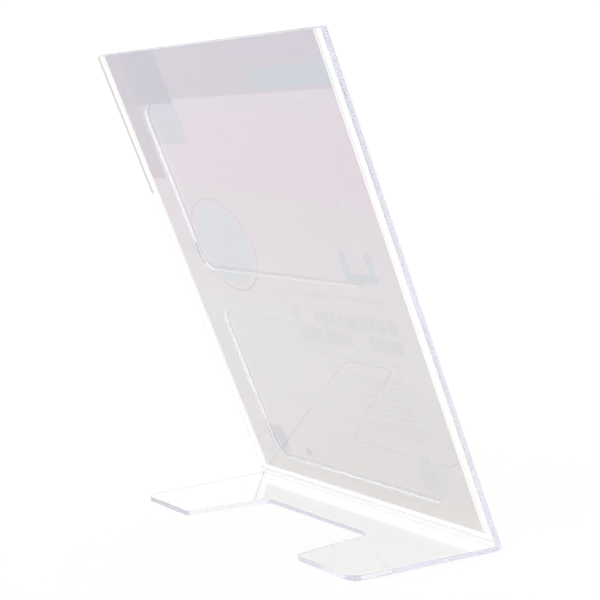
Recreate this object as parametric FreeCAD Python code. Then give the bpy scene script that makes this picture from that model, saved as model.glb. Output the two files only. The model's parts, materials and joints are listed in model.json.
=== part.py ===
import FreeCAD, Part

import math
import os

Vector = FreeCAD.Vector

# Printed insert: one portrait sheet of card, lying against the pocket's back wall.
sheet_width = 210.0
sheet_height = 297.0
sheet_thickness = 0.3

# Pocket between the front moulding and the back plate, open at the top.
side_clearance = 2.0        # sheet edge to pocket wall, on each side
face_clearance = 0.6        # pocket depth less the sheet's thickness
back_gap = 0.1              # the part of that clearance behind the sheet
mouth_depth = 0.0           # the sheet's top edge below the panel's top edge

# Leaning panel. Distances up the slope start where its front face would meet the floor.
lean_angle = 23.7           # from the vertical
front_wall = 1.6
back_wall = 1.6
rail_width = 6.0            # solid edge outside the pocket, on each side
heel_height = 3.1           # solid heel between the foot and the back plate's lower edge
ledge_height = 3.8          # solid below the sheet that the back plate is welded to
seam_gap = 0.1              # hairline between the back plate's lower edge and the heel

# Foot: a flat plate under the lean, with a wide notch that leaves two toes.
foot_thickness = 3.0
foot_depth = 102.8          # floor line of the front face to the toes' ends
toe_taper = 6.7             # how far each side draws in by the toes' ends
notch_start = 45.0          # floor line of the front face to the notch's base
notch_base_width = 99.8
notch_end_width = 111.8
toe_corner_radius = 8.0
notch_end_radius = 4.0
notch_base_radius = 6.0

# Bend between the panel and the foot.
bend_radius = 3.0           # outside, along the front lower edge
crease_radius = 0.6         # inside, where the heel meets the foot

# Two recessed rounded panels in the back plate, one above the other.
recess_rows = 2
recess_side_margin = 29.0   # recess to the plate's side
recess_low_margin = 16.3    # lower recess to the plate's lower edge
recess_top_margin = 32.0    # upper recess to the plate's top edge
recess_spacing = 27.5       # between the two recesses
recess_depth = 0.8
recess_border = 8.0         # width of the curved border inside each recess
recess_corner_radius = 12.0
border_steps = 4            # flats that follow the border's curve
border_ease = 3             # the border is steep at the rim and eases to flat with this power

overcut = 1.0               # how far a cutting shape runs past what it cuts

lean = math.radians(lean_angle)
pocket_depth = sheet_thickness + face_clearance
shell_thickness = front_wall + pocket_depth
panel_thickness = shell_thickness + back_wall
pocket_width = sheet_width + 2 * side_clearance
panel_width = pocket_width + 2 * rail_width
foot_end_width = panel_width - 2 * toe_taper

# Levels up the slope: the crease where the panel's back meets the foot, then what stands on it.
crease_up = foot_thickness / math.cos(lean) + panel_thickness * math.tan(lean)
crease_y = crease_up * math.sin(lean) + panel_thickness * math.cos(lean)
back_plate_start = crease_up + heel_height
pocket_floor = back_plate_start + ledge_height
panel_length = pocket_floor + sheet_height + mouth_depth

recess_width = panel_width - 2 * recess_side_margin
recess_start = back_plate_start + recess_low_margin
recess_room = panel_length - recess_top_margin - recess_start
recess_height = (recess_room - (recess_rows - 1) * recess_spacing) / recess_rows

# The frame's origin is on the floor, midway along the object's depth.
front_reach = bend_radius * (1 / math.tan((math.pi / 2 - lean) / 2) - 1)
back_reach = panel_length * math.sin(lean) + panel_thickness * math.cos(lean)
centre_y = (front_reach + back_reach) / 2


def slope_point(up, back, x=0.0):
    """A point given by its distance up the slope and back from the panel's front face."""
    y = up * math.sin(lean) + back * math.cos(lean) - centre_y
    z = up * math.cos(lean) - back * math.sin(lean)
    return Vector(x, y, z)


def slope_box(width, up_from, up_to, back_from, back_to):
    """A box centred on the middle plane, lying along the slope."""
    corners = [(up_from, back_from), (up_to, back_from), (up_to, back_to), (up_from, back_to)]
    outline = [slope_point(up, back, -width / 2) for up, back in corners]
    face = Part.Face(Part.makePolygon(outline + outline[:1]))
    return face.extrude(Vector(width, 0, 0))


def rounded_outline(corners):
    """A closed wire through the corners, each given as a point and a radius."""
    count = len(corners)
    arcs = []
    for index, (corner, radius) in enumerate(corners):
        before = (corners[index - 1][0] - corner).normalize()
        after = (corners[(index + 1) % count][0] - corner).normalize()
        if radius == 0:
            arcs.append((corner, None, corner))
            continue
        half_angle = before.getAngle(after) / 2
        bisector = (before + after).normalize()
        setback = radius / math.tan(half_angle)
        middle = corner + bisector * (radius / math.sin(half_angle) - radius)
        arcs.append((corner + before * setback, middle, corner + after * setback))
    edges = []
    for index, (start, middle, end) in enumerate(arcs):
        if middle is not None:
            edges.append(Part.Arc(start, middle, end).toShape())
        edges.append(Part.makeLine(end, arcs[(index + 1) % count][0]))
    return Part.Wire(edges)


def floor_point(x, y):
    return Vector(x, y - centre_y, 0)


def bend_profile():
    """Side view of the panel, its heel and the foot, before the pocket and notch are cut."""
    heel_top = back_plate_start - seam_gap
    return rounded_outline([
        (Vector(0, -centre_y, 0), bend_radius),
        (slope_point(panel_length, 0), 0),
        (slope_point(panel_length, shell_thickness), 0),
        (slope_point(heel_top, shell_thickness), 0),
        (slope_point(heel_top, panel_thickness), 0),
        (slope_point(crease_up, panel_thickness), crease_radius),
        (Vector(0, foot_depth - centre_y, foot_thickness), 0),
        (Vector(0, foot_depth - centre_y, 0), 0),
    ])


def foot_outline():
    """Plan of the foot with its tapering sides and notch, as wide as the panel at the bend."""
    half = panel_width / 2
    right = [
        (floor_point(half, 0), 0),
        (floor_point(half, crease_y), 0),
        (floor_point(foot_end_width / 2, foot_depth), toe_corner_radius),
        (floor_point(notch_end_width / 2, foot_depth), notch_end_radius),
        (floor_point(notch_base_width / 2, notch_start), notch_base_radius),
    ]
    left = [(Vector(-point.x, point.y, point.z), radius) for point, radius in reversed(right)]
    return rounded_outline(right + left)


def front_shell():
    """Front window, side rails, pocket floor, heel and foot in one moulding."""
    profile = Part.Face(bend_profile())
    profile.translate(Vector(-panel_width / 2, 0, 0))
    block = profile.extrude(Vector(panel_width, 0, 0))

    foot_corner = floor_point(-panel_width / 2 - overcut, crease_y)
    foot_block = Part.makeBox(panel_width + 2 * overcut, foot_depth, foot_thickness, foot_corner)
    foot = Part.Face(foot_outline()).extrude(Vector(0, 0, foot_thickness))
    shell = block.cut(foot_block).fuse(block.common(foot)).removeSplitter()

    pocket = slope_box(pocket_width, pocket_floor, panel_length + overcut,
                       front_wall, shell_thickness + overcut)
    return shell.cut(pocket)


def recess_outline(start, inset, back):
    half = recess_width / 2 - inset
    low = start + inset
    high = start + recess_height - inset
    corners = [(low, -half), (high, -half), (high, half), (low, half)]
    return rounded_outline([
        (slope_point(up, back, x), recess_corner_radius - inset) for up, x in corners
    ])


def recess(start):
    """Shallow tray sunk in the plate's outer face, with a border curved like a dish's."""
    sections = []
    for step in range(border_steps + 1):
        share = step / border_steps
        depth = recess_depth * (1 - (1 - share) ** border_ease)
        sections.append(recess_outline(start, share * recess_border, panel_thickness - depth))
    outside = slope_point(0, overcut) - slope_point(0, 0)
    mouth = Part.Face(sections[0]).extrude(outside)
    return Part.makeLoft(sections, True, True).fuse(mouth)


def back_plate():
    """Flat plate bonded on the rails and pocket floor, with the recessed panels."""
    plate = slope_box(panel_width, back_plate_start, panel_length, shell_thickness, panel_thickness)
    for row in range(recess_rows):
        plate = plate.cut(recess(recess_start + row * (recess_height + recess_spacing)))
    return plate.removeSplitter()


def insert_sheet():
    back = shell_thickness - back_gap
    return slope_box(sheet_width, pocket_floor, pocket_floor + sheet_height,
                     back - sheet_thickness, back)


parts = {
    "front_shell": front_shell,
    "back_plate": back_plate,
    "insert_sheet": insert_sheet,
}

os.makedirs("parts", exist_ok=True)
for name, make in parts.items():
    shape = make()
    box = shape.BoundBox
    print(name, shape.isValid(), len(shape.Solids), round(shape.Volume, 1),
          [round(value, 2) for value in (box.XMin, box.XMax, box.YMin, box.YMax, box.ZMin, box.ZMax)])
    shape.exportStep("parts/" + name + ".step")
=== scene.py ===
import json
import math

import bmesh
import bpy
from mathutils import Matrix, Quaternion, Vector


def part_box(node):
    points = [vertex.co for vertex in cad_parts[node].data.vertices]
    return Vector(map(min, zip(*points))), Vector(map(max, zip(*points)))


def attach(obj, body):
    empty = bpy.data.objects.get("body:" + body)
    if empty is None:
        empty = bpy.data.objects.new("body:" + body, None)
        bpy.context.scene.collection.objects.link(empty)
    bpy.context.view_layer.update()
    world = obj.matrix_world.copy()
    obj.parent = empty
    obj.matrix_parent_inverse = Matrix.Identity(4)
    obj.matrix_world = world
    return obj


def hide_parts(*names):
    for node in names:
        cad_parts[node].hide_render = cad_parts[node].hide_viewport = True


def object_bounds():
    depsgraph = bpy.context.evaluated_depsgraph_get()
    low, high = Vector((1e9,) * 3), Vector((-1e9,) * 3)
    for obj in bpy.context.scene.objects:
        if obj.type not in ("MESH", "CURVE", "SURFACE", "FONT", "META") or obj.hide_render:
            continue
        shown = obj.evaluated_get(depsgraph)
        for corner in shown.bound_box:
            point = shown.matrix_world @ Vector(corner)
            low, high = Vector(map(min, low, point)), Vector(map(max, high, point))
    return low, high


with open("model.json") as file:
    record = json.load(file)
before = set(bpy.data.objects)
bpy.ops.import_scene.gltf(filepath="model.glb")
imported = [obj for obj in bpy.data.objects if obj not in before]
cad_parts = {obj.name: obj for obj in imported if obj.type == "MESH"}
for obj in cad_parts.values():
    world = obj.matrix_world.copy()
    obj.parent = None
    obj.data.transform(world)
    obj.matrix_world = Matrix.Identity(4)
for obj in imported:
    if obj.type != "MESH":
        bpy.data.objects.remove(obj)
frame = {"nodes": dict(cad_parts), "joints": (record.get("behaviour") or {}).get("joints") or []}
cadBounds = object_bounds()
millimetres = 1000                    # in a metre
touching = 1e-6                       # places nearer than this are one place
print("frame loaded", sorted(frame["nodes"]))

# Directions of the leaning panel, from the sheet's slide
across = Vector((1, 0, 0))
slope = Vector(frame["joints"][0]["axis"]).normalized()
backward = slope.cross(across)


def reach(node, direction):
    # lowest and highest place of a CAD node along a direction
    places = [vertex.co.dot(direction) for vertex in frame["nodes"][node].data.vertices]
    return min(places), max(places)


# The corner where the panel's front face would meet the floor
frontPlane = reach("front_shell", backward)[0]
corner = Vector((0, frontPlane / backward.y, 0))


def panelPoint(x, up, back):
    return corner + across * x + slope * up + backward * back


def upSpan(node):
    low, high = reach(node, slope)
    return low - corner.dot(slope), high - corner.dot(slope)


def backSpan(node):
    low, high = reach(node, backward)
    return low - frontPlane, high - frontPlane


class Wire:
    # one socket that adds Math nodes when it is used in an expression
    def __init__(self, tree, socket):
        self.tree = tree
        self.socket = socket

    def math(self, operation, *others):
        return self.tree.make("ShaderNodeMath", {"operation": operation}, self, *others)

    def reflected(self, operation, other):
        return self.tree.make("ShaderNodeMath", {"operation": operation}, other, self)

    def __add__(self, other):
        return self.math("ADD", other)

    def __sub__(self, other):
        return self.math("SUBTRACT", other)

    def __mul__(self, other):
        return self.math("MULTIPLY", other)

    def __truediv__(self, other):
        return self.math("DIVIDE", other)

    def __mod__(self, other):
        return self.math("FLOORED_MODULO", other)

    def __rsub__(self, other):
        return self.reflected("SUBTRACT", other)

    def __rtruediv__(self, other):
        return self.reflected("DIVIDE", other)

    def __rmod__(self, other):
        return self.reflected("FLOORED_MODULO", other)

    __radd__ = __add__
    __rmul__ = __mul__

    def above(self, edge, blur):
        # 0 below the edge and 1 above it, with a soft step
        return self.tree.clamp((self - edge) / blur + 0.5)

    def between(self, low, high, blur):
        return self.above(low, blur) * (1 - self.above(high, blur))


class Shader:
    # a node tree, either of a new material or of the world
    def __init__(self, name, world=False):
        self.owner = (bpy.data.worlds if world else bpy.data.materials).new(name)
        self.owner.use_nodes = True
        self.nodes = self.owner.node_tree.nodes
        self.links = self.owner.node_tree.links
        self.nodes.clear()
        self.output = self.nodes.new("ShaderNodeOutputWorld" if world else "ShaderNodeOutputMaterial")

    def set(self, socket, value):
        if isinstance(value, Wire):
            self.links.new(value.socket, socket)
        elif value is not None:
            socket.default_value = value

    def make(self, kind, settings=None, *values, out=0, **named):
        # any node: its settings first, then its sockets in order or by name
        node = self.nodes.new(kind)
        for name, value in (settings or {}).items():
            setattr(node, name, value)
        for socket, value in zip(node.inputs, values):
            self.set(socket, value)
        for name, value in named.items():
            self.set(node.inputs[name.replace("_", " ")], value)
        return Wire(self, node.outputs[out])

    def clamp(self, value):
        return self.make("ShaderNodeClamp", None, value)

    def mix(self, factor, first, second, blend="MIX"):
        node = self.nodes.new("ShaderNodeMix")
        node.data_type = "RGBA"
        node.blend_type = blend
        for index, value in ((0, factor), (6, first), (7, second)):
            self.set(node.inputs[index], value)
        return Wire(self, node.outputs[2])

    def vector(self, operation, first, second, out=0):
        return self.make("ShaderNodeVectorMath", {"operation": operation}, first, second, out=out)

    def along(self, place, direction):
        # distance of a place along a fixed direction
        return self.vector("DOT_PRODUCT", place, tuple(direction), out=1)

    def noise(self, place, scale, detail=2.0):
        return self.make("ShaderNodeTexNoise", None, Vector=place, Scale=scale, Detail=detail)

    def bump(self, height, distance, strength=1.0):
        return self.make("ShaderNodeBump", None, Height=height, Distance=distance, Strength=strength)

    def finish(self, surface, volume=None):
        self.set(self.output.inputs["Surface"], surface)
        self.set(self.output.inputs["Volume"], volume)
        return self.owner


clearLook = {
    "colour": (1.0, 1.0, 1.0, 1),
    "ior": 1.57,
    "roughness": 0.004,               # polished by the mould
    "smudgeRoughness": 0.008,         # added where it has been handled
    "smudgeScale": 38.0,
    "smudgeDetail": 4.0,
    "smudgeFrom": 0.6,                # higher leaves fewer smudges
    "smudgeFade": 0.25,
    "flowScale": 22.0,                # gentle waves left by moulding
    "flowDepth": 0.000003,
    "paintedGlow": (0.64, 0.66, 0.80),       # painted glow: the plastic glows from inside though it is no lamp, so long paths inside it settle to this colour
    "absorbAndGlowSpread": (4.0, 3.9, 3.2),    # how fast they do, per metre: the plastic's real absorption, and the painted glow that balances it
}


def clearPlastic():
    look = clearLook
    s = Shader("clearPlastic")
    place = s.make("ShaderNodeTexCoord", out=3)
    handled = s.noise(place, look["smudgeScale"], look["smudgeDetail"])
    smudge = handled.above(look["smudgeFrom"], look["smudgeFade"])
    waves = s.bump(s.noise(place, look["flowScale"]), look["flowDepth"])
    surface = s.make("ShaderNodeBsdfPrincipled", Base_Color=look["colour"], IOR=look["ior"],
                     Roughness=smudge * look["smudgeRoughness"] + look["roughness"],
                     Transmission_Weight=1.0, Normal=waves)
    thickest = max(look["absorbAndGlowSpread"])
    kept = tuple(1 - spread / thickest for spread in look["absorbAndGlowSpread"]) + (1,)
    glow = tuple(shade * spread for shade, spread in zip(look["paintedGlow"], look["absorbAndGlowSpread"])) + (1,)
    # inside the plastic: tinted absorption, plus a painted glow though the plastic is no lamp
    inside = s.make("ShaderNodeAddShader", None,
                    s.make("ShaderNodeVolumeAbsorption", Color=kept, Density=thickest),
                    s.make("ShaderNodeEmission", Color=glow, Strength=1.0))
    return s.finish(surface, inside)


clearMaterial = clearPlastic()
print("clear plastic ready")

# Printed design, in millimetres on the sheet: x across from its middle, v up from its lower edge.
# Boxes are (x from, x to, v from, v to).
design = {
    "edge": 0.3,                      # softness of every printed edge
    "ground": (0.98, 0.97, 0.95, 1),
    "blush": (0.88, 0.66, 0.72, 1),
    "blushLow": 128,                  # the blush ground fades out between these two heights
    "blushHigh": 215,
    "hatchPitch": 2.6,
    "hatchSlant": 0.8,
    "hatchBlur": 0.5,
    "hatchDepth": 0.35,
    "ribbon": (48, 89, 238, 297),
    "ribbonColour": (0.04, 0.02, 0.16, 1),
    "ribbonCut": 0.09,                # slant of its lower end
    "ribbonBand": (48, 89, 238, 264),
    "ribbonBandColour": (0.50, 0.52, 0.62, 1),
    "header": (-105, 105, 266, 297),
    "headerColour": (0.35, 0.27, 0.37, 1),
    "sideStrip": (89, 105, 215, 297),
    "sideStripColour": (0.22, 0.10, 0.18, 1),
    "sideStripSolid": 0.8,
    "bar": (-105, -39, 268.5, 280),
    "barColour": (0.20, 0.44, 0.44, 1),
    "disc": (52, 171, 27),            # centre and radius
    "discColour": (0.66, 0.84, 0.82, 1),
    "ringRadius": 31,
    "ringWidth": 1.1,
    "ringColour": (0.55, 0.28, 0.36, 1),
    "block": (-88.5, -61, 155, 174),
    "blockInside": (-83, -66.5, 160, 174),
    "blockColour": (0.16, 0.52, 0.47, 1),
    "blockSolid": 0.6,
    "ink": (0.10, 0.10, 0.13, 1),
    "seal": (-76, 29, 12),
    "sealColour": (0.72, 0.88, 0.86, 1),
    "badge": (67, 85, 17, 37),
    "badgeColour": (0.40, 0.40, 0.60, 1),
    "dot": (46, 22, 3),
}

# Rows of plain blocks that stand for lines of print: box, block width, gap, how solid
printRows = [
    ((-88.5, 11, 142, 145.6), 2.6, 0.9, 0.22),
    ((-90, 4, 123.5, 133), 7.2, 1.4, 0.26),
    ((-90, 2, 110.5, 120.5), 7.2, 1.4, 0.26),
    ((-90, -9, 101.6, 104.6), 1.9, 0.6, 0.22),
]
unevenRows = {
    "driftPace": 1.7,                 # how fast the blocks' widths change along a row
    "wordPace": 0.42,                 # how often a row has a space in it
    "wordShift": 2.1,
    "wordSpace": 0.93,                # higher leaves narrower spaces
    "wordBlur": 0.02,
}
smallRows = {
    "left": -88.5,
    "reach": 56,                      # longest line
    "ragged": 12,
    "raggedStep": 0.37,
    "first": 92,                      # height of the first line
    "pitch": 3.7,
    "height": 1.9,
    "groups": (4, 3, 3),
    "groupSeed": 5,
    "groupGap": 1.6,
    "block": 1.5,
    "gap": 0.5,
    "solid": 0.25,
}
sheetLook = {
    "showThrough": 0.31,              # how strongly the print shows on the back
    # the back's colour, mauve at the top and beige and a little darker at the bottom: partly the print
    # showing through, partly painted shade for how the back is lit
    "backTop": (0.69, 0.672, 0.735, 1),
    "backLow": (0.645, 0.625, 0.622, 1),
    "frontRoughness": 0.32,
    "backRoughness": 0.6,
    "grainScale": 2600.0,
    "grainDepth": 0.000012,
    "fibreScale": 240.0,
    "fibreDetail": 3.0,
    "fibreMiddle": 0.5,
    "fibreFade": 0.5,
    "fibreShade": 0.025,
    "fibreColour": (0, 0, 0, 1),
    "faceBlur": 0.00005,              # between the front's finish and the back's
}


class Print:
    # draws shapes on the sheet, one over another, and keeps the colour so far
    def __init__(self, s, x, v, colour):
        self.s, self.x, self.v, self.colour = s, x, v, colour

    def paint(self, mask, colour, solid=1.0):
        self.colour = self.s.mix(mask * solid, self.colour, colour)

    def box(self, limits):
        low, high, bottom, top = limits
        edge = design["edge"]
        return self.x.between(low, high, edge) * self.v.between(bottom, top, edge)

    def distance(self, x, v):
        across, up = self.x - x, self.v - v
        return (across * across + up * up).math("SQRT")

    def disc(self, x, v, radius):
        return 1 - self.distance(x, v).above(radius, design["edge"])

    def ring(self, x, v, radius, width):
        return self.distance(x, v).between(radius - width / 2, radius + width / 2, design["edge"])

    def row(self, limits, block, gap, seed):
        # a line of blocks of uneven width, with a space here and there
        uneven = unevenRows
        pitch = block + gap
        drift = (self.x * (uneven["driftPace"] / pitch) + seed).math("SINE") * gap
        blocks = ((self.x - limits[0] + drift) % pitch).between(0, block, design["edge"])
        wave = (self.x * (uneven["wordPace"] / pitch) + seed * uneven["wordShift"]).math("SINE")
        words = 1 - wave.above(uneven["wordSpace"], uneven["wordBlur"])
        return self.box(limits) * blocks * words


def printedDesign(s, x, v):
    d = design
    sheet = Print(s, x, v, d["ground"])
    blush = v.above((d["blushLow"] + d["blushHigh"]) / 2, d["blushHigh"] - d["blushLow"])
    hatch, cross = (
        ((x + v * slant) % d["hatchPitch"]).between(0, d["hatchPitch"] / 2, d["hatchBlur"])
        for slant in (d["hatchSlant"], -d["hatchSlant"])
    )
    screen = 1 - hatch * cross * d["hatchDepth"]
    sheet.paint(blush * screen, d["blush"])
    sheet.paint(sheet.box(d["header"]) * screen, d["headerColour"])
    sheet.paint(sheet.box(d["sideStrip"]), d["sideStripColour"], d["sideStripSolid"])
    aboveCut = v.above(d["ribbon"][2] + (x - d["ribbon"][0]) * -d["ribbonCut"], d["edge"])
    sheet.paint(sheet.box(d["ribbon"]) * aboveCut, d["ribbonColour"])
    sheet.paint(sheet.box(d["ribbonBand"]) * aboveCut, d["ribbonBandColour"])
    sheet.paint(sheet.box(d["bar"]), d["barColour"])
    sheet.paint(sheet.disc(*d["disc"]), d["discColour"])
    sheet.paint(sheet.ring(*d["disc"][:2], d["ringRadius"], d["ringWidth"]), d["ringColour"])
    frameOnly = 1 - sheet.box(d["blockInside"])
    sheet.paint(sheet.box(d["block"]) * frameOnly, d["blockColour"], d["blockSolid"])
    sheet.paint(sheet.disc(*d["seal"]), d["sealColour"])
    sheet.paint(sheet.box(d["badge"]), d["badgeColour"])
    sheet.paint(sheet.disc(*d["dot"]), d["badgeColour"])
    for index, (limits, block, gap, solid) in enumerate(printRows):
        sheet.paint(sheet.row(limits, block, gap, index), d["ink"], solid)
    small = smallRows
    top = small["first"]
    for group, count in enumerate(small["groups"]):
        for line in range(count):
            seed = group * small["groupSeed"] + line
            end = small["left"] + small["reach"] - small["ragged"] * (seed * small["raggedStep"] % 1)
            limits = (small["left"], end, top - small["height"], top)
            sheet.paint(sheet.row(limits, small["block"], small["gap"], seed), d["ink"], small["solid"])
            top -= small["pitch"]
        top -= small["groupGap"]
    return sheet.colour


def printedPaper():
    look = sheetLook
    s = Shader("printedPaper")
    place = s.make("ShaderNodeTexCoord", out=3)
    x = s.along(place, across) * millimetres
    v = (s.along(place, slope) - sheetSpan[0] - corner.dot(slope)) * millimetres
    onBack = s.along(place, backward).above(sheetMiddle, look["faceBlur"])
    printed = printedDesign(s, x, v)
    # back colour graded from bottom to top: partly print showing through, partly painted shade for how
    # the back is lit
    backToneAndShade = s.mix(v.above(sheetTall / 2, sheetTall), look["backLow"], look["backTop"])
    through = s.mix(look["showThrough"], backToneAndShade, s.mix(1.0, backToneAndShade, printed, "MULTIPLY"))
    fibre = s.noise(place, look["fibreScale"], look["fibreDetail"])
    fibre = fibre.above(look["fibreMiddle"], look["fibreFade"]) * look["fibreShade"]
    shade = s.mix(fibre, s.mix(onBack, printed, through), look["fibreColour"])
    rougher = look["backRoughness"] - look["frontRoughness"]
    surface = s.make("ShaderNodeBsdfPrincipled", Base_Color=shade,
                     Roughness=onBack * rougher + look["frontRoughness"],
                     Normal=s.bump(s.noise(place, look["grainScale"]), look["grainDepth"]))
    return s.finish(surface)


sheetSpan = upSpan("insert_sheet")
sheetTall = (sheetSpan[1] - sheetSpan[0]) * millimetres
sheetMiddle = sum(backSpan("insert_sheet")) / 2 + frontPlane
frame["nodes"]["insert_sheet"].data.materials.clear()
frame["nodes"]["insert_sheet"].data.materials.append(printedPaper())
print("printed sheet ready")


def arcPoints(start, cornerPoint, end, steps):
    # points of the arc that rounds a corner, tangent to both its sides
    towardStart = (start - cornerPoint).normalized()
    towardEnd = (end - cornerPoint).normalized()
    halfAngle = towardStart.angle(towardEnd) / 2
    setback = (start - cornerPoint).length
    radius = setback * math.tan(halfAngle)
    centre = cornerPoint + (towardStart + towardEnd).normalized() * (setback / math.cos(halfAngle))
    first = start - centre
    turn = math.pi - 2 * halfAngle
    axis = first.cross(end - centre)
    return [centre + Quaternion(axis, turn * step / steps) @ first for step in range(steps + 1)]


def roundedPath(corners, steps):
    # corners are (point, radius); the path has an arc at each corner with a radius
    points = []
    for index, (place, radius) in enumerate(corners):
        if radius == 0:
            points.append(place.copy())
            continue
        before = (corners[index - 1][0] - place).normalized()
        after = (corners[(index + 1) % len(corners)][0] - place).normalized()
        setback = radius / math.tan(before.angle(after) / 2)
        points += arcPoints(place + before * setback, place, place + after * setback, steps)
    return points


mouldedEdges = {
    "width": 0.0002,
    "segments": 3,
    "sharperThan": 40,                # degrees: sharper edges than this are rounded
    "crisperThan": 15,                # degrees: and gentler ones than this are shaded smooth
}


def finishedPiece(name, mesh, node):
    rounding = mouldedEdges
    bmesh.ops.recalc_face_normals(mesh, faces=mesh.faces)
    data = bpy.data.meshes.new(name)
    mesh.to_mesh(data)
    mesh.free()
    data.shade_smooth()
    data.set_sharp_from_angle(angle=math.radians(rounding["crisperThan"]))
    piece = bpy.data.objects.new(name, data)
    bpy.context.scene.collection.objects.link(piece)
    data.materials.append(clearMaterial)
    bevel = piece.modifiers.new("softEdges", "BEVEL")
    bevel.width = rounding["width"]
    bevel.segments = rounding["segments"]
    bevel.limit_method = "ANGLE"
    bevel.angle_limit = math.radians(rounding["sharperThan"])
    flats = piece.modifiers.new("flatFaces", "WEIGHTED_NORMAL")
    flats.keep_sharp = True
    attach(piece, "stand")
    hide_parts(node)


shellForm = {
    "frontWall": 0.0016,
    "wall": 0.0025,              # front wall and pocket together
    "backWall": 0.0016,
    "rail": 0.006,
    "footThickness": 0.003,
    "footDepth": 0.1028,
    "footEndWidth": 0.2126,
    "notchStart": 0.045,
    "notchBaseWidth": 0.0998,
    "notchEndWidth": 0.1118,
    "toeRadius": 0.008,
    "notchEndRadius": 0.004,
    "notchBaseRadius": 0.006,
    "bendRadius": 0.003,
    "arcSteps": 12,
}

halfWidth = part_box("front_shell")[1].x
plateLow, plateHigh = upSpan("back_plate")
plateInner = backSpan("back_plate")[0]
sheetLow = upSpan("insert_sheet")[0]
panelBack = plateInner + shellForm["backWall"]


def stripBetween(first, second, start, end):
    # face that joins the same edge of two ends
    return [first[start], second[start], second[end], first[end]]


def frontShell():
    form = shellForm
    steps = form["arcSteps"]
    railInner = halfWidth - form["rail"]
    creaseUp = (form["footThickness"] + panelBack * -backward.z) / slope.z
    creaseY = panelPoint(0, creaseUp, panelBack).y
    front = corner.y
    mesh = bmesh.new()

    # plan of the foot from the right end of the crease round to the left end
    rightPlan = [
        (Vector((halfWidth, creaseY, 0)), 0),
        (Vector((form["footEndWidth"] / 2, front + form["footDepth"], 0)), form["toeRadius"]),
        (Vector((form["notchEndWidth"] / 2, front + form["footDepth"], 0)), form["notchEndRadius"]),
        (Vector((form["notchBaseWidth"] / 2, front + form["notchStart"], 0)), form["notchBaseRadius"]),
    ]
    leftPlan = [(Vector((-place.x, place.y, 0)), radius) for place, radius in reversed(rightPlan)]
    plan = roundedPath(rightPlan + leftPlan, steps)
    lift = Vector((0, 0, form["footThickness"]))
    under = [mesh.verts.new(place) for place in plan]
    top = [mesh.verts.new(place + lift) for place in plan]

    # the bend, then the panel's outline, at each side
    setback = form["bendRadius"] / math.tan(backward.angle(Vector((0, 0, -1))) / 2)
    bendStart = corner + Vector((0, setback, 0))
    bend = arcPoints(bendStart, corner, corner + slope * setback, steps)

    def panelEnd(x):
        bendVerts = [mesh.verts.new(place + across * x) for place in bend]
        return {
            "bend": bendVerts,
            "bendTop": bendVerts[-1],
            "frontTop": mesh.verts.new(panelPoint(x, plateHigh, 0)),
            "railTop": mesh.verts.new(panelPoint(x, plateHigh, form["wall"])),
            "railFoot": mesh.verts.new(panelPoint(x, plateLow, form["wall"])),
            "heelTop": mesh.verts.new(panelPoint(x, plateLow, panelBack)),
        }

    def pocketEnd(x):
        return {
            "mouthFront": mesh.verts.new(panelPoint(x, plateHigh, form["frontWall"])),
            "mouthBack": mesh.verts.new(panelPoint(x, plateHigh, form["wall"])),
            "floorFront": mesh.verts.new(panelPoint(x, sheetLow, form["frontWall"])),
            "floorBack": mesh.verts.new(panelPoint(x, sheetLow, form["wall"])),
        }

    right, left = panelEnd(halfWidth), panelEnd(-halfWidth)
    rightPocket, leftPocket = pocketEnd(railInner), pocketEnd(-railInner)
    outline = ("frontTop", "railTop", "railFoot", "heelTop")
    pocketOutline = ("mouthFront", "mouthBack", "floorBack", "floorFront")
    faces = [
        right["bend"] + [right[name] for name in outline] + [top[0], under[0]],
        left["bend"] + [left[name] for name in outline] + [top[-1], under[-1]],
        stripBetween(right, left, "bendTop", "frontTop"),
        [right["frontTop"], left["frontTop"], left["railTop"], leftPocket["mouthBack"],
         leftPocket["mouthFront"], rightPocket["mouthFront"], rightPocket["mouthBack"], right["railTop"]],
        stripBetween(rightPocket, leftPocket, "mouthFront", "floorFront"),
        [rightPocket[name] for name in pocketOutline],
        [leftPocket[name] for name in pocketOutline],
        stripBetween(rightPocket, leftPocket, "floorFront", "floorBack"),
        [right["railTop"], rightPocket["mouthBack"], rightPocket["floorBack"], leftPocket["floorBack"],
         leftPocket["mouthBack"], left["railTop"], left["railFoot"], right["railFoot"]],
        stripBetween(right, left, "railFoot", "heelTop"),
        [right["heelTop"], left["heelTop"], top[-1], top[0]],
        top,
        under + [left["bend"][0], right["bend"][0]],
    ]
    faces += [[right["bend"][i], left["bend"][i], left["bend"][i + 1], right["bend"][i + 1]]
              for i in range(steps)]
    faces += [[under[i], under[i + 1], top[i + 1], top[i]] for i in range(len(plan) - 1)]
    for verts in faces:
        mesh.faces.new(verts)
    finishedPiece("clearFrontShell", mesh, "front_shell")


frontShell()
print("front shell ready")


plateForm = {
    "weldGap": 0.00005,          # air left between the plate and the rails it is welded to
    "sideMargin": 0.029,         # recessed panel to the plate's side
    "lowMargin": 0.0163,
    "topMargin": 0.032,
    "spacing": 0.0275,           # between the two recessed panels
    "depth": 0.0008,
    "border": 0.008,
    "borderEase": 4,             # higher is steeper at the rim and flatter inside
    "radius": 0.012,
    "arcSteps": 10,
    "borderSteps": 16,
}


def recessLoop(low, high, inset, back):
    form = plateForm
    half = halfWidth - form["sideMargin"] - inset
    radius = form["radius"] - inset
    corners = [(half, low + inset), (half, high - inset), (-half, high - inset), (-half, low + inset)]
    return roundedPath([(panelPoint(x, up, back), radius) for x, up in corners], form["arcSteps"])


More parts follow.
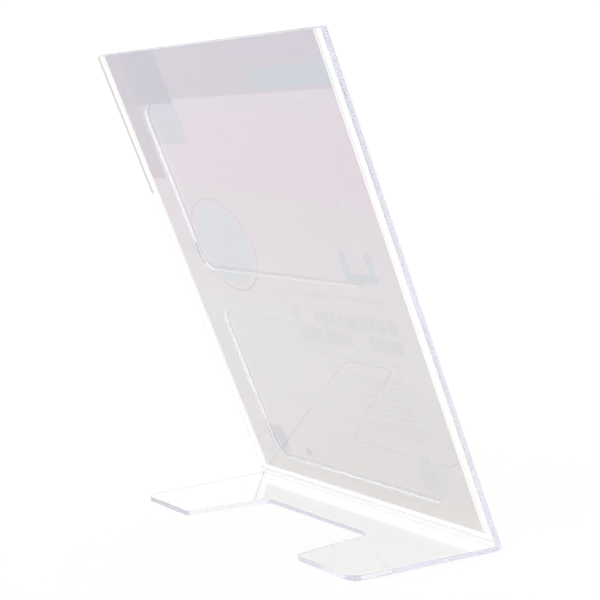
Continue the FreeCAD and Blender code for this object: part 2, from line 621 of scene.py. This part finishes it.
def plateEdgeLoop(low, high, back):
    # as many points as a recess's outline, on the rectangle around it
    count = plateForm["arcSteps"]
    half = halfWidth
    corners = [(half, low), (half, high), (-half, high), (-half, low)]
    reachIn = plateForm["radius"]
    points = []
    for index, (x, up) in enumerate(corners):
        place = panelPoint(x, up, back)
        before = panelPoint(*corners[index - 1], back) - place
        after = panelPoint(*corners[(index + 1) % 4], back) - place
        for step in range(count + 1):
            share = step / count * 2 - 1
            way = before if share < 0 else after
            points.append(place + way.normalized() * abs(share) * reachIn)
    return points


def ringFaces(mesh, outer, inner):
    count = len(outer)
    for i in range(count):
        after = (i + 1) % count
        mesh.faces.new([outer[i], outer[after], inner[after], inner[i]])


def backPlate():
    form = plateForm
    mesh = bmesh.new()
    inner = plateInner + form["weldGap"]
    low = plateLow + form["lowMargin"]
    tall = (plateHigh - form["topMargin"] - low - form["spacing"]) / 2
    nextLow = low + tall + form["spacing"]
    middle = nextLow - form["spacing"] / 2
    halves = [(plateLow, middle, low, low + tall), (middle, plateHigh, nextLow, nextLow + tall)]
    for edgeLow, edgeHigh, recessLow, recessHigh in halves:
        ring = [mesh.verts.new(place) for place in plateEdgeLoop(edgeLow, edgeHigh, panelBack)]
        innerRing = [mesh.verts.new(place) for place in plateEdgeLoop(edgeLow, edgeHigh, inner)]
        mesh.faces.new(innerRing)
        for i in range(len(ring)):
            after = (i + 1) % len(ring)
            ups = [ring[j].co.dot(slope) - corner.dot(slope) for j in (i, after)]
            if not all(abs(up - middle) < touching for up in ups):      # not where the halves join
                mesh.faces.new([ring[i], ring[after], innerRing[after], innerRing[i]])
        for step in range(form["borderSteps"] + 1):
            toGo = 1 - step / form["borderSteps"]      # steep at the rim, then easing to flat
            inset = form["border"] * (1 - toGo)
            depth = form["depth"] * (1 - toGo ** form["borderEase"])
            outline = recessLoop(recessLow, recessHigh, inset, panelBack - depth)
            loop = [mesh.verts.new(place) for place in outline]
            ringFaces(mesh, ring, loop)
            ring = loop
        mesh.faces.new(ring)
    bmesh.ops.remove_doubles(mesh, verts=mesh.verts, dist=touching)
    finishedPiece("clearBackPlate", mesh, "back_plate")


backPlate()
print("back plate ready")


studio = {
    "floorColour": (0.42, 0.42, 0.42, 1),
    "floorGlow": 0.62,                # a light table, lit from below too, so that it looks white
    "floorGap": 0.0001,               # below the foot
    "floorSize": 12.0,
    "lightBehind": 2.25,              # brightness of the room on the side of the panel's back
    "behindFrom": 0.6,
    "behindFade": 0.7,
    "lightAhead": 1.03,               # brightness on the side that the sign faces
    "darkSide": 0.6,                  # how much darker the room is towards one end of the panel
    "darkFrom": 0.5,
    "darkFade": 0.4,
    "warmth": (1.0, 0.995, 0.985, 1),
    "bounces": 160,                   # light goes round many times inside clear plastic
    "bouncesThrough": 64,
    "bouncesInside": 140,
    "glossBlur": 0,                   # none, so the card is lit fully through the plastic
}


def studioFloor():
    mesh = bmesh.new()
    bmesh.ops.create_grid(mesh, x_segments=1, y_segments=1, size=studio["floorSize"] / 2)
    data = bpy.data.meshes.new("floor")
    mesh.to_mesh(data)
    mesh.free()
    floor = bpy.data.objects.new("floor", data)
    floor.location.z = cadBounds[0].z - studio["floorGap"]
    bpy.context.scene.collection.objects.link(floor)
    s = Shader("floorPaint")
    surface = s.make("ShaderNodeBsdfPrincipled", Base_Color=studio["floorColour"], Specular_IOR_Level=0.0,
                     Roughness=1.0, Emission_Color=studio["warmth"],
                     Emission_Strength=studio["floorGlow"])
    data.materials.append(s.finish(surface))


def studioAir():
    # a white room, brighter behind the sign, which lights everything softly
    s = Shader("studio", world=True)
    direction = s.make("ShaderNodeTexCoord", out=0)
    behind = s.along(direction, backward).above(studio["behindFrom"], studio["behindFade"])
    strength = behind * (studio["lightBehind"] - studio["lightAhead"]) + studio["lightAhead"]
    dark = s.along(direction, -across).above(studio["darkFrom"], studio["darkFade"]) * studio["darkSide"]
    background = s.make("ShaderNodeBackground", Color=studio["warmth"], Strength=strength * (1 - dark))
    bpy.context.scene.world = s.finish(background)


cameraView = {
    "azimuth": 233.37,
    "elevation": 6.23,
    "roll": -0.28,
    "distance": 0.7835,
    "aim": (0, -0.0077, 0.1353),
    "lens": 79.46,
    "sensor": 36.0,
    "nearest": 0.01,
}


def studioCamera():
    view = cameraView
    turn, lift = math.radians(view["azimuth"]), math.radians(view["elevation"])
    back = Vector((math.sin(turn) * math.cos(lift), -math.cos(turn) * math.cos(lift), math.sin(lift)))
    data = bpy.data.cameras.new("camera")
    data.lens = view["lens"]
    data.sensor_width = view["sensor"]
    data.clip_start = view["nearest"]
    camera = bpy.data.objects.new("camera", data)
    bpy.context.scene.collection.objects.link(camera)
    camera.location = Vector(view["aim"]) + back * view["distance"]
    camera.rotation_mode = "QUATERNION"
    upright = back.to_track_quat("Z", "Y")
    camera.rotation_quaternion = upright @ Quaternion((0, 0, 1), math.radians(view["roll"]))
    bpy.context.scene.camera = camera


studioFloor()
studioAir()
studioCamera()
bpy.context.scene.view_settings.view_transform = "Standard"
light = bpy.context.scene.cycles
light.max_bounces = studio["bounces"]
light.transmission_bounces = studio["bouncesThrough"]
light.glossy_bounces = studio["bouncesInside"]
light.blur_glossy = studio["glossBlur"]
print("studio ready")
